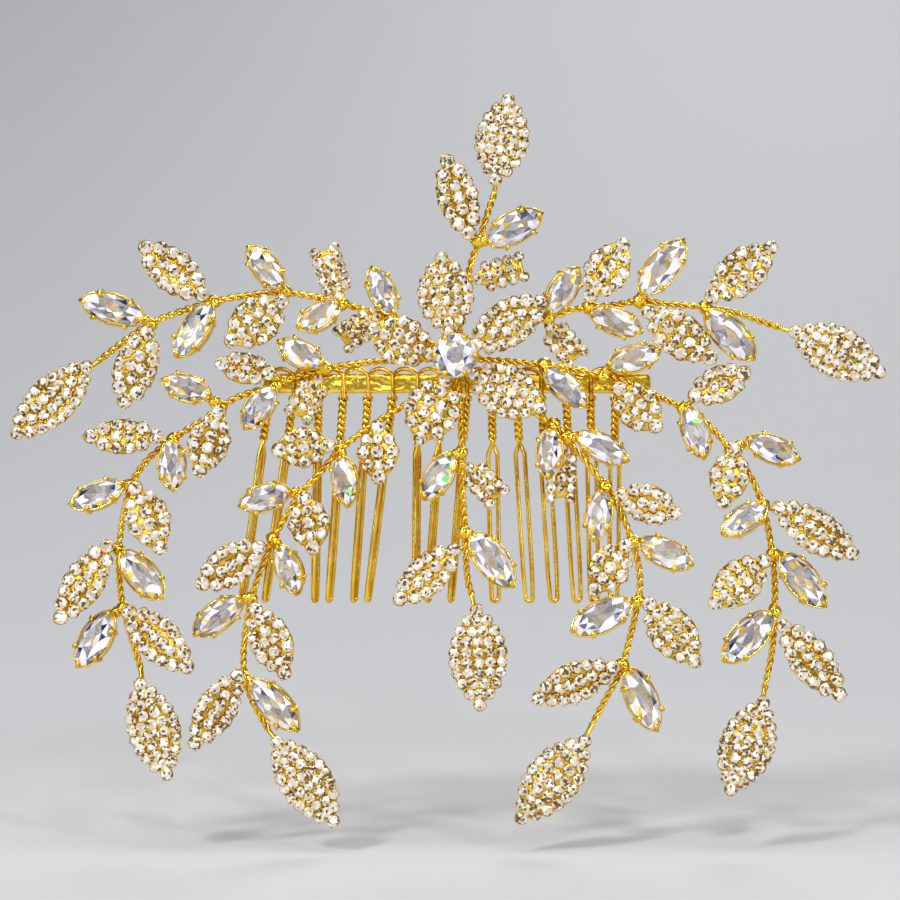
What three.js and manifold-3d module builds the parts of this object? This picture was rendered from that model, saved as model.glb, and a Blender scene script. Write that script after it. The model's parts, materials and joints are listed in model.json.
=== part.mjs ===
// Decorative hair comb: a wire comb that carries a flower and eight leafy wire sprays.
// Millimetres. +X along the comb bar, +Z away from the tooth tips, and the jewelled front faces -Y.
// The origin is the middle of the bar's back face, where the comb sits against the hair.
import * as THREE from 'three';
import { mergeVertices } from 'three/addons/utils/BufferGeometryUtils.js';
import Module from 'manifold-3d';

const wasm = await Module();
wasm.setup();

// ---- driving dimensions -------------------------------------------------------------------
const gap = 0.3;                // clearance between neighbouring pieces

const barLength = 64;
const barHeight = 3.2;
const barThickness = 0.8;

const toothWire = 0.75;         // diameter of the comb wire
const toothPitch = 4.09;
const toothReach = 36;          // from the bar's middle line to the tooth tips
const toothLegs = 1.5;          // distance between the two legs of one tooth
const twistDrop = 1.4;          // from the bar's lower edge to where the legs meet
const twistLength = 6.5;        // stretch under the bar where the legs lie close together
const twistLegs = 0.95;         // distance between the legs in that stretch
const legSpread = 2.5;          // stretch in which the legs spread to their full distance
const wrapShift = 0.3;          // sideways step of the wire from the bar's front to its back
const firstToothInset = 0.9;    // from the bar's left end to the first tooth
const bareEnd = 5.2;            // least length of bar left bare at its right end
const turnedTeeth = 9;          // how many teeth, from the left, are turned out of the bar's plane
const turnedBy = 62;            // degrees, for those teeth
const turnedLittle = 8;         // degrees, for the others
// Degrees that the hand-bent teeth lean, from the left, positive to the right.
const toothLeans = [-7.5, -8, -1, -4, -4, -7, -0.5, -4, -4.5, 1, 3.6, 3.6, 3.2, 1, -0.5];

const stemWire = 1.2;           // outside diameter of the two-strand stems
const bendGap = 0.8;            // soft stretch of wire left free at each bend
const hubDiscRadius = 3.4;
const hubDiscThickness = 1.3;
const hubPostRadius = 1;

const leafThickness = 1.4;
const petalThickness = 1.5;
const petalLift = 7;            // degrees that the petal tips stand forward
const leafLift = 3;             // degrees that the leaf tips stand forward
const rollShare = 0.25;         // share of a rolled leaf's width that it is moved forward
const sprigHold = 2;            // length of the short wire that runs in under a sprig
const settingDepth = 3.2;
const settingWaist = 0.9;       // how much wider the girdle is than the table, each side
const armWire = 0.9;            // short wires that carry the stone settings
const armShare = 0.25;          // share of a setting's length that its wire runs in under it

const cupRadius = 3.8;
const cupDepth = 2.6;
const cupWall = 0.5;
const cupFootShare = 0.55;      // radius of the cup's foot as a share of its rim
const cupFloorShare = 0.45;     // height of the cup's inner floor as a share of its depth
const centreStoneRadius = 3.5;
const centreStoneHeight = 3.2;

const toothCount = Math.floor((barLength - firstToothInset - bareEnd) / toothPitch) + 1;
const solderWidth = toothPitch - toothWire - 3 * gap;
const solderHeight = barHeight - 1;
const settingForward = (settingDepth - stemWire) / 2;
const frontWireDepth = -(barThickness + gap + toothWire / 2);
const backWireDepth = gap + toothWire / 2;
const stemDepth = frontWireDepth - toothWire / 2 - gap - stemWire / 2;
const petalDepth = stemDepth - Math.max(stemWire, hubDiscThickness) / 2 - gap;
const cupBase = petalDepth - petalThickness - gap;
const flower = { x: -0.4, z: 4.3 };

// ---- layout of the sprays -----------------------------------------------------------------
// Each spray has the arm that is fixed to the hub, the bend where the soft wire gives, and the
// stem beyond it. Points are [x, z]. A leaf or stone is [x, z, direction in degrees, length, width]
// from the end that is fastened to the stem, with a roll in degrees for a leaf.
const sprays = {
  top: {
    arm: [[0, 5], [0.8, 12], [1.7, 17.2]], bend: [2.1, 19], arch: 1.2,
    stem: [[2.6, 20.8], [3.6, 23.4], [4.9, 27.6], [6.2, 31.4]],
    armStones: [],
    armSprigs: [[2.4, 16.8, 16, 9.4, 4.9]],
    armLeaves: [],
    stones: [[4.6, 22.8, 29, 10.6, 5]],
    sprigs: [],
    leaves: [[2, 23.4, 107, 14.8, 6.9, 10], [6.2, 32.2, 81, 15.8, 9, -6]],
  },
  upper_right: {
    arm: [[2, 5.5], [9, 8.6], [14, 10.4], [16.6, 11.2]], bend: [18, 11.7], arch: 1.5,
    stem: [[20, 12.2], [26, 12.8], [30, 13.4], [34.3, 12.9], [40, 12.4], [45, 11.6], [49.5, 10.2],
      [53.6, 8.9]],
    armStones: [[14.6, 11.2, 57, 9.4, 4.4]],
    armSprigs: [[14.6, 10, -50, 8.4, 4.9]],
    armLeaves: [],
    stones: [[21.5, 11.9, -22, 9.6, 4.2], [29.9, 14.1, 52, 11.7, 5], [40.5, 11.9, -45, 11.5, 5]],
    sprigs: [],
    leaves: [[21.4, 13.3, 58, 12.4, 7.4, -8], [30.4, 12.2, -37, 15.2, 7.4, 10],
      [40.8, 13.2, 40, 15, 7.5, -9],
      [54.4, 8.8, -26, 17.8, 8.6, 8]],
  },
  outer_right: {
    arm: [[3, 4], [10.2, 3.4], [17.1, 2.6], [23, 1.4], [28, 0], [32.4, -1.9]],
    bend: [33.6, -2.5], arch: 1.6,
    stem: [[36.6, -3.9], [40.5, -6.3], [44.2, -10.3], [47.5, -14.6], [49.8, -19.6], [51.2, -26],
      [51.9, -32], [52, -38], [51.6, -44], [50.5, -50.2]],
    armStones: [[14.2, 2.6, -42, 9.7, 4.2], [24.4, 2.6, 16, 9.4, 4.2]],
    armSprigs: [],
    armLeaves: [[25.9, -0.2, -46, 11.2, 7.4, 8]],
    stones: [[37.5, -3.6, -71, 9.5, 4.2], [47, -9.2, -22, 9.6, 4.2], [50.7, -19.8, 214, 9.3, 4.2],
      [52.6, -27.8, -51, 11.5, 5], [51.7, -37.4, 225, 11.8, 5]],
    sprigs: [],
    leaves: [[38, -2.7, 25, 11.4, 6.4, -10], [45.6, -10.2, 257, 11.3, 6.6, 12],
      [51.4, -20, -32, 16.6, 7.2, -7],
      [50.7, -28.6, 220, 13.1, 7.5, 8], [52.5, -39.2, -51, 16.7, 7.2, -12],
      [50.4, -51.4, 249, 17.8, 9.1, 6]],
  },
  inner_right: {
    arm: [[2.5, 0.5], [9, -3], [16.1, -7], [19, -10.4]], bend: [20.4, -12], arch: 1.4,
    stem: [[22.1, -14.1], [25.1, -18.1], [27.4, -22.6], [29.4, -28.6], [29.9, -33.1], [29.1, -38.2],
      [26.9, -46.7], [24.8, -51], [22, -56.4]],
    armStones: [[15.4, -7.1, 268, 8.8, 4.2], [19.4, -8.3, -29, 9.9, 4.2]],
    armSprigs: [[17.2, -10, -91, 9.6, 4.4]],
    armLeaves: [],
    stones: [[24, -17.2, 260, 9, 4.2], [29.4, -25.8, -25, 10, 4.4], [28.8, -35.6, 207, 11.6, 5],
      [27.7, -46.4, -66, 11.6, 5]],
    sprigs: [],
    leaves: [[26, -17.9, -19, 11.5, 6.6, 9], [27.8, -25.8, 234, 11.3, 7, -8],
      [30.8, -35.3, -51, 14.4, 7.9, 10],
      [26.1, -45.9, 202, 15.8, 6.9, -9], [21.5, -57.9, 230, 18.9, 9, 7]],
  },
  centre: {
    arm: [[0, 1], [0.5, -5]], bend: [0.6, -8.2], arch: 1,
    stem: [[0.7, -10], [0.6, -14], [1, -20], [1.3, -26], [1.6, -31.6], [2.4, -35]],
    armStones: [], armSprigs: [], armLeaves: [],
    stones: [[-0.6, -11.3, 239, 9.4, 4.4], [2.2, -24.4, -53, 11.5, 5]],
    sprigs: [[1.3, -13.3, -46, 8.3, 4.8]],
    leaves: [[0.2, -26.9, 222, 14.4, 6.8, 9], [3, -36.2, -88, 18.1, 9.8, -6]],
  },
  inner_left: {
    arm: [[-2.5, 1], [-7.5, -2.8], [-9.6, -4.2]], bend: [-10.8, -4.9], arch: 1.4,
    stem: [[-13, -6.3], [-16, -8.4], [-19.3, -11], [-22.6, -14.8], [-25.8, -18.3], [-28.8, -23.1],
      [-31.2, -28.1], [-33.6, -35], [-34.9, -42.2], [-34.9, -48.2], [-33.3, -53], [-30.9, -57.2]],
    armStones: [], armSprigs: [], armLeaves: [],
    stones: [[-18.9, -11.6, -82, 9, 4.2], [-27, -17.4, 197, 9.2, 4.2], [-29.2, -26.1, -68, 9.2, 4.2],
      [-35, -35, 217, 10.2, 4.6], [-34, -48.4, -45, 11.8, 5]],
    sprigs: [],
    leaves: [[-13, -6.3, -88, 10.9, 7, 9], [-20.1, -10, 185, 10.8, 6.8, -9],
      [-24.9, -17.9, -80, 10.8, 7, 8],
      [-31.6, -26.2, 213, 13.5, 7, -8], [-33.1, -36, -65, 14, 7.4, 10],
      [-35.5, -47, 238, 15.4, 6.8, -10],
      [-29.9, -57.9, -54, 18.4, 9, 6]],
  },
  outer_left: {
    arm: [[-3.5, 4], [-13.7, 3.5], [-20.8, 2.5], [-26.2, 1.1], [-31, -0.6], [-35, -1.9]],
    bend: [-36.4, -2.5], arch: 1.6,
    stem: [[-38.3, -3.5], [-41.3, -5.8], [-46, -8.8], [-50.3, -12.2], [-53.1, -16.2], [-54.7, -22],
      [-55.4, -28], [-55.1, -35], [-53.9, -40.4], [-52, -47]],
    armStones: [[-21.8, 2.7, 153, 8.8, 4.2], [-29.9, -0.3, 235, 9, 4.2]],
    armSprigs: [[-22.5, 1.3, 241, 8.3, 4.8]],
    armLeaves: [[-29.9, 1.3, 169, 10.4, 5.4, 9]],
    stones: [[-40.2, -2.3, 162, 8.7, 4.2], [-46.8, -9, -88, 8.9, 4.2], [-54.1, -16.6, 202, 9.8, 4.2],
      [-55, -27.4, -49, 10.7, 4.8], [-56.2, -37.2, 239, 11, 5]],
    sprigs: [],
    leaves: [[-38.8, -4, 252, 12.6, 6.9, -9], [-48.3, -8.9, 180, 13.1, 6, 8],
      [-52.9, -16.4, -67, 13.2, 7.2, -10],
      [-56.3, -26, 237, 16.4, 6.9, 9], [-54.2, -36.9, -43, 15.6, 7.2, -8], [-52, -48.3, -73, 18, 9, 6]],
  },
  upper_left: {
    arm: [[-3, 5.5], [-10.1, 10], [-14.7, 11.8]], bend: [-16.6, 12.4], arch: 1.5,
    stem: [[-18.5, 12.9], [-22.2, 13.9], [-28.6, 14.8], [-35, 14.2], [-40.1, 13.2], [-45, 11.8],
      [-50.3, 9.7], [-54.6, 6.9], [-59, 3.6]],
    armStones: [[-10.4, 10.9, 116, 9, 4.2]],
    armSprigs: [[-12.4, 11.3, 213, 8.4, 4.9]],
    armLeaves: [],
    stones: [[-19, 13, 211, 8.4, 4.2], [-28.3, 15.2, 129, 9.3, 4.2], [-39.9, 13.2, 238, 11, 4.8],
      [-50.8, 10.4, 163, 11.3, 4.8]],
    sprigs: [[-19.1, 13.4, 108, 9.6, 4.7]],
    leaves: [[-28, 13.8, 218, 13, 8, -8], [-41, 13.6, 140, 14.5, 7.2, 9],
      [-50.4, 8.9, 252, 14.3, 7.3, -9],
      [-59.8, 3.1, 224, 18.3, 8.2, 7]],
  },
};

// The five petals: [x, z, direction, length, width] from the end under the centre stone.
const petals = {
  petal_top: [-1.2, 7.4, 96, 14.8, 9.2],
  petal_upper_right: [2.2, 5.7, 33, 15.4, 7.8],
  petal_lower_right: [1.8, 1.8, -27, 15, 8.8],
  petal_bottom: [-1.6, 1.2, 246, 13.2, 9],
  petal_left: [-3.6, 4.4, 157, 12.8, 8.2],
};

// ---- materials ----------------------------------------------------------------------------
const gold = (roughness) => new THREE.MeshStandardMaterial({ color: 0xe0a526, roughness, metalness: 1 });
const barGold = gold(0.35);
const wireGold = gold(0.25);
const paveGold = new THREE.MeshStandardMaterial({ color: 0xcfb27a, roughness: 0.3, metalness: 0.7 });
const crystal = new THREE.MeshStandardMaterial({ color: 0xf2efe6, roughness: 0.05, metalness: 0 });

// ---- helpers ------------------------------------------------------------------------------
const comb = new THREE.Group();
const radians = THREE.MathUtils.degToRad;

function addPiece(name, geometry, material) {
  const mesh = new THREE.Mesh(geometry, material);
  mesh.name = name;
  comb.add(mesh);
}

// A wire whose steps fall on its own points, so bends get short steps and straight runs long ones.
class WirePath extends THREE.CatmullRomCurve3 {
  constructor(points) {
    super(points, false, 'centripetal');
  }

  getUtoTmapping(u) {
    return u;
  }
}

function disc(radius, sides) {
  const shape = new THREE.Shape();
  for (let i = 0; i < sides; i += 1) {
    const turn = (2 * Math.PI * i) / sides;
    if (i === 0) shape.moveTo(radius, 0);
    else shape.lineTo(radius * Math.cos(turn), radius * Math.sin(turn));
  }
  shape.closePath();
  return shape;
}

function wire(points, diameter, stepsPerPoint, sides) {
  return new THREE.ExtrudeGeometry(disc(diameter / 2, sides), {
    steps: (points.length - 1) * stepsPerPoint, extrudePath: new WirePath(points), bevelEnabled: false,
  });
}

function toSolid(geometry) {
  const plain = geometry.clone();
  plain.deleteAttribute('normal');
  plain.deleteAttribute('uv');
  const merged = mergeVertices(plain, 1e-4);
  return new wasm.Manifold(new wasm.Mesh({
    numProp: 3,
    vertProperties: new Float32Array(merged.attributes.position.array),
    triVerts: new Uint32Array(merged.index.array),
  }));
}

function toGeometry(solid) {
  const mesh = solid.getMesh();
  const geometry = new THREE.BufferGeometry();
  geometry.setAttribute('position', new THREE.BufferAttribute(mesh.vertProperties, 3));
  geometry.setIndex(new THREE.BufferAttribute(mesh.triVerts, 1));
  return geometry;
}

function join(geometries) {
  return toGeometry(geometries.map(toSolid).reduce((whole, part) => whole.add(part)));
}

// A pointed oval from the origin along +X.
function pointedOval(length, width) {
  const shape = new THREE.Shape();
  const shoulder = length * 0.3;
  const bulge = width * 0.64;
  shape.moveTo(0, 0);
  shape.bezierCurveTo(shoulder * 0.6, -bulge, length - shoulder, -bulge, length, 0);
  shape.bezierCurveTo(length - shoulder, bulge, shoulder * 0.6, bulge, 0, 0);
  return shape;
}

// Turns a flat piece that lies along +X, with its front towards +Z, to its place on the comb:
// roll about its own length, lift its tip forward, then aim it in the plane of the front.
function aim(geometry, x, depth, z, direction, lift, roll) {
  const turn = new THREE.Matrix4().makeRotationX(radians(roll));
  turn.premultiply(new THREE.Matrix4().makeRotationY(radians(-lift)));
  turn.premultiply(new THREE.Matrix4().makeRotationZ(radians(direction)));
  turn.premultiply(new THREE.Matrix4().makeRotationX(Math.PI / 2));
  turn.premultiply(new THREE.Matrix4().makeTranslation(x, depth, z));
  return geometry.applyMatrix4(turn);
}

function leafPlate(length, width, thickness, segments) {
  return new THREE.ExtrudeGeometry(pointedOval(length, width), {
    depth: thickness, bevelEnabled: false, curveSegments: segments,
  });
}

// A boat-shaped claw setting with its stone, widest at the girdle.
function settingBlock(length, width) {
  const waist = settingWaist;
  const block = new THREE.ExtrudeGeometry(pointedOval(length - 2 * waist, width - waist), {
    depth: settingDepth * 0.2, bevelEnabled: true, bevelThickness: settingDepth * 0.4, bevelSize: waist,
    bevelOffset: 0, bevelSegments: 1, curveSegments: 4,
  });
  return block.translate(waist, 0, -settingDepth * 0.1);
}

// ---- stems --------------------------------------------------------------------------------
// The wires arch gently forward along their length.
function stemPoints(points, arch) {
  const spans = [0];
  for (let i = 1; i < points.length; i += 1) {
    const [[fromX, fromZ], [toX, toZ]] = [points[i - 1], points[i]];
    spans.push(spans[i - 1] + Math.hypot(toX - fromX, toZ - fromZ));
  }
  const total = spans[spans.length - 1];
  return points.map(([x, z], i) => (
    new THREE.Vector3(x, stemDepth - arch * Math.sin((Math.PI * spans[i]) / total), z)
  ));
}

function between(from, to, distance) {
  const way = new THREE.Vector2(to[0] - from[0], to[1] - from[1]).normalize();
  return [from[0] + way.x * distance, from[1] + way.y * distance];
}

function depthNear(points, x, z) {
  let best = points[0];
  for (let i = 1; i < points.length; i += 1) {
    for (let step = 0; step <= 4; step += 1) {
      const point = points[i - 1].clone().lerp(points[i], step / 4);
      if (Math.hypot(point.x - x, point.z - z) < Math.hypot(best.x - x, best.z - z)) best = point;
    }
  }
  return best;
}

// A short wire from the stem that runs in under a setting or a sprig.
function armTo(root, x, depth, z, direction, reach) {
  const along = radians(direction);
  const inside = new THREE.Vector3(x + reach * Math.cos(along), depth, z + reach * Math.sin(along));
  return wire([root, inside], armWire, 1, 5);
}

// A stem wire with what is soldered to it: stone settings and the small sprigs.
function stemPieces(points, stones, sprigs) {
  const pieces = [wire(points, stemWire, 2, 6)];
  stones.forEach(([x, z, direction, length, width]) => {
    const root = depthNear(points, x, z);
    const depth = root.y - settingForward;
    pieces.push(aim(settingBlock(length, width), x, depth, z, direction, 0, 0));
    pieces.push(armTo(root, x, depth, z, direction, length * armShare));
  });
  sprigs.forEach(([x, z, direction, length, width]) => {
    const root = depthNear(points, x, z);
    const plate = leafPlate(length, width, leafThickness, 6);
    pieces.push(aim(plate, x, root.y + leafThickness / 2, z, direction, 0, 0));
    pieces.push(armTo(root, x, root.y, z, direction, sprigHold));
  });
  return pieces;
}

// ---- the comb -----------------------------------------------------------------------------
const barShape = new THREE.Shape();
const barCorner = barHeight * 0.3;
const barHalf = barLength / 2;
barShape.moveTo(-barHalf + barCorner, -barHeight / 2);
barShape.lineTo(barHalf - barCorner, -barHeight / 2);
barShape.quadraticCurveTo(barHalf, -barHeight / 2, barHalf, -barHeight / 2 + barCorner);
barShape.lineTo(barHalf, barHeight / 2 - barCorner);
barShape.quadraticCurveTo(barHalf, barHeight / 2, barHalf - barCorner, barHeight / 2);
barShape.lineTo(-barHalf + barCorner, barHeight / 2);
barShape.quadraticCurveTo(-barHalf, barHeight / 2, -barHalf, barHeight / 2 - barCorner);
barShape.lineTo(-barHalf, -barHeight / 2 + barCorner);
barShape.quadraticCurveTo(-barHalf, -barHeight / 2, -barHalf + barCorner, -barHeight / 2);
const bar = new THREE.ExtrudeGeometry(barShape, {
  depth: barThickness, bevelEnabled: false, curveSegments: 4,
});
bar.rotateX(Math.PI / 2);
addPiece('comb_bar', bar, barGold);

// One continuous wire: down in front of the bar, round the tooth, up behind it and over to the next.
function toothPoints(i) {
  const x = -barLength / 2 + firstToothInset + i * toothPitch;
  const middle = (frontWireDepth + backWireDepth) / 2;
  const twistTop = -barHeight / 2 - twistDrop;
  const twistEnd = twistTop - twistLength;
  const over = barHeight / 2 + gap + toothWire / 2;
  const slope = Math.tan(radians(toothLeans[i % toothLeans.length]));
  const turn = radians(i < turnedTeeth ? turnedBy : turnedLittle);
  const bow = toothLegs / 2;
  const local = [
    [-twistLegs / 2, twistTop], [-twistLegs / 2, twistEnd], [-bow, twistEnd - legSpread],
    [-bow, -toothReach + bow], [-bow * 0.7, -toothReach + bow * 0.3], [0, -toothReach],
    [bow * 0.7, -toothReach + bow * 0.3], [bow, -toothReach + bow], [bow, twistEnd - legSpread],
    [twistLegs / 2, twistEnd], [twistLegs / 2, twistTop],
  ];
  const points = [[x, frontWireDepth, barHeight / 2], [x, frontWireDepth, -barHeight / 2]];
  local.forEach(([across, z]) => {
    const sideways = across * Math.cos(turn) + slope * (twistTop - z);
    points.push([x + sideways, middle + across * Math.sin(turn), z]);
  });
  const back = x + wrapShift;
  points.push([back, backWireDepth, -barHeight / 2], [back, backWireDepth, barHeight / 2]);
  if (i < toothCount - 1) {
    points.push([x + 0.3 * toothPitch, gap, over], [x + 0.75 * toothPitch, -barThickness - gap, over]);
  }
  return points.map(([px, py, pz]) => new THREE.Vector3(px, py, pz));
}

const toothWirePoints = [];
for (let i = 0; i < toothCount; i += 1) toothWirePoints.push(...toothPoints(i));
addPiece('comb_teeth', wire(toothWirePoints, toothWire, 1, 6), wireGold);

// ---- hub: solder disc, fixed arms and the post of the centre setting -----------------------
const hubPieces = [];
const hubDisc = new THREE.CylinderGeometry(hubDiscRadius, hubDiscRadius, hubDiscThickness, 16);
hubPieces.push(hubDisc.translate(flower.x, stemDepth, flower.z));
const postLength = stemDepth - cupBase - gap;
const post = new THREE.CylinderGeometry(hubPostRadius, hubPostRadius, postLength, 10);
hubPieces.push(post.translate(flower.x, stemDepth - postLength / 2, flower.z));
const teethLeftOfPad = Math.floor((toothCount - 1) / 2) + 0.5;
const padX = -barLength / 2 + firstToothInset + teethLeftOfPad * toothPitch;
const padLength = -barThickness - gap - stemDepth;
const pad = new THREE.BoxGeometry(solderWidth, padLength, solderHeight);
hubPieces.push(pad.translate(padX, stemDepth + padLength / 2, 0));

Object.values(sprays).forEach(({ arm, bend, armStones, armSprigs }) => {
  const end = between(bend, arm[arm.length - 1], bendGap / 2);
  const points = [[flower.x, flower.z], ...arm, end].map(([x, z]) => new THREE.Vector3(x, stemDepth, z));
  hubPieces.push(...stemPieces(points, armStones, armSprigs));
});
addPiece('wire_hub', join(hubPieces), wireGold);

// ---- sprays: stems beyond the bends, and the leaves -----------------------------------------
function addLeaves(name, points, leaves) {
  leaves.forEach(([x, z, direction, length, width, roll], i) => {
    const root = depthNear(points, x, z);
    const rollRoom = rollShare * width * Math.abs(Math.sin(radians(roll)));
    const depth = root.y - stemWire / 2 - gap - rollRoom;
    const plate = aim(leafPlate(length, width, leafThickness, 7), x, depth, z, direction, leafLift, roll);
    addPiece(`${name}_leaf_${i + 1}`, plate, paveGold);
  });
}

Object.entries(sprays).forEach(([name, spray]) => {
  const start = between(spray.bend, spray.stem[0], bendGap / 2);
  const points = stemPoints([start, ...spray.stem], spray.arch);
  addPiece(`${name}_stem`, join(stemPieces(points, spray.stones, spray.sprigs)), wireGold);
  addLeaves(name, points, spray.leaves);
  const armPoints = spray.arm.map(([x, z]) => new THREE.Vector3(x, stemDepth, z));
  addLeaves(`${name}_arm`, armPoints, spray.armLeaves);
});

// ---- flower ---------------------------------------------------------------------------------
Object.entries(petals).forEach(([name, [x, z, direction, length, width]]) => {
  const plate = leafPlate(length, width, petalThickness, 8);
  addPiece(name, aim(plate, x, petalDepth, z, direction, petalLift, 0), paveGold);
});

// Claw cup with a hollow for the pavilion of the stone, turned about the axis that points forward.
const cupFloor = cupDepth * cupFloorShare;
const cupProfile = [
  [0, 0], [cupRadius * cupFootShare, 0], [cupRadius, cupDepth],
  [cupRadius - cupWall, cupDepth], [0, cupFloor],
].map(([radius, height]) => new THREE.Vector2(radius, height));
const cup = new THREE.LatheGeometry(cupProfile, 18);
cup.rotateX(Math.PI).translate(flower.x, cupBase, flower.z);
addPiece('centre_setting', cup, wireGold);

const stoneSeat = cupBase - cupFloor - gap;
const stoneProfile = [
  [0, 0], [centreStoneRadius, centreStoneHeight * 0.6], [centreStoneRadius, centreStoneHeight * 0.66],
  [centreStoneRadius * 0.58, centreStoneHeight], [0, centreStoneHeight],
].map(([radius, height]) => new THREE.Vector2(radius, height));
const stone = new THREE.LatheGeometry(stoneProfile, 16);
stone.rotateX(Math.PI).translate(flower.x, stoneSeat, flower.z);
addPiece('centre_stone', stone, crystal);

export default comb;
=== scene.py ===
import json
import math
import random

import bmesh
import bpy
from mathutils import Matrix, Vector, noise


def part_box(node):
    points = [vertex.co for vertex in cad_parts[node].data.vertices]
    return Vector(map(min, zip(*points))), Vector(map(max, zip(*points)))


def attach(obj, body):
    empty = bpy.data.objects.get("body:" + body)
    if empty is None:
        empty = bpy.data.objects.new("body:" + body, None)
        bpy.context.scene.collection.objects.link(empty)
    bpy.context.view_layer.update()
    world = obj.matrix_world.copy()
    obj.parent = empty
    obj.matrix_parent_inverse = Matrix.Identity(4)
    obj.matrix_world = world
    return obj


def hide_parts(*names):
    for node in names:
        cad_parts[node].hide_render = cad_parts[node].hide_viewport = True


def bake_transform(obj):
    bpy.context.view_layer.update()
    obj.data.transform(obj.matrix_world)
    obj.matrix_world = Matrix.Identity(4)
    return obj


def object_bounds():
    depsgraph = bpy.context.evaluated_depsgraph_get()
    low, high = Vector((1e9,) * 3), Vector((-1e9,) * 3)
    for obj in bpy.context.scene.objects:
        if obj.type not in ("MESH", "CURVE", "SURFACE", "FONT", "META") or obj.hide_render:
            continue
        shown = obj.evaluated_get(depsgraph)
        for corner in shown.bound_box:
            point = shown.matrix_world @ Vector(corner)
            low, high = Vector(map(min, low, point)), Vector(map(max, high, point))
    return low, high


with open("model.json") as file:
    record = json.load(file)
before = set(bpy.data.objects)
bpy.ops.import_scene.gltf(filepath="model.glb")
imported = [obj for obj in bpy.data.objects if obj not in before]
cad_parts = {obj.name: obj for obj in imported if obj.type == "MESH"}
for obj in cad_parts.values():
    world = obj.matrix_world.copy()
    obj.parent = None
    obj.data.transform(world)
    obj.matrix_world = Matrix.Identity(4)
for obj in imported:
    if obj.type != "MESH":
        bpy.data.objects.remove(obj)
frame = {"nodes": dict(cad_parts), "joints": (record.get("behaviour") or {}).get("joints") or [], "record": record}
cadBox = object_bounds()
mm = 0.001
print("frame loaded:", len(frame["nodes"]), "CAD nodes")


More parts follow.
